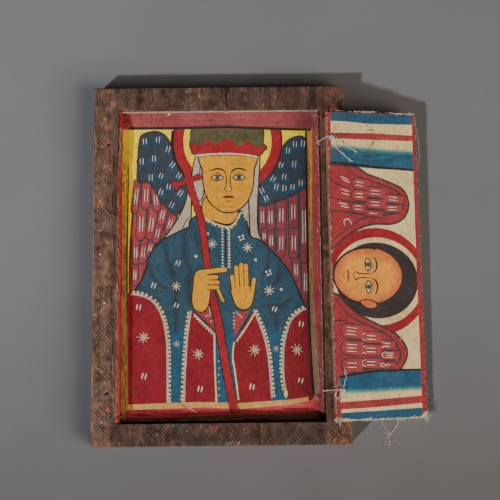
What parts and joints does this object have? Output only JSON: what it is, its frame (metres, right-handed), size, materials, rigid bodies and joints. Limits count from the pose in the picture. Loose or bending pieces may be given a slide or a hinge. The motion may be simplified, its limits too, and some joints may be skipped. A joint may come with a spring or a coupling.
{
  "type": "religious icon",
  "caption": "Small folding painted icon lying on its back: a chip-carved wooden frame round a painted cloth in a sunk field, with a painted wing tied on by string hinges.",
  "frame": {"origin": "centre of the panel's flat back", "axes": "+X to the right of the picture, towards the wing; +Y up the picture; +Z out of the painted face"},
  "size_m": [0.3179, 0.347, 0.0429],
  "materials": {
    "carved_wood": "dark, worn and hand-carved",
    "painted_cloth": "matt distemper paint on cotton",
    "cotton_string": "hand-spun, undyed",
    "red_bead": "opaque, polished"
  },
  "bodies": {
    "panel": {"panel": "carved_wood", "panel_cloth": "painted_cloth", "tie_top": "cotton_string", "tie_bottom": "cotton_string"},
    "wing": {"wing_board": "carved_wood", "wing_cloth": "painted_cloth", "red_bead": "red_bead"}
  },
  "joints": [
    {"name": "wing_fold", "type": "hinge", "parent": "panel", "child": "wing", "pos_m": [0.0993, -0.0036, 0.02598], "axis": [0.0078, -0.9999, -0.0112], "range_deg": [0, 196.4], "deforming": ["tie_top", "tie_bottom"]}
  ]
}
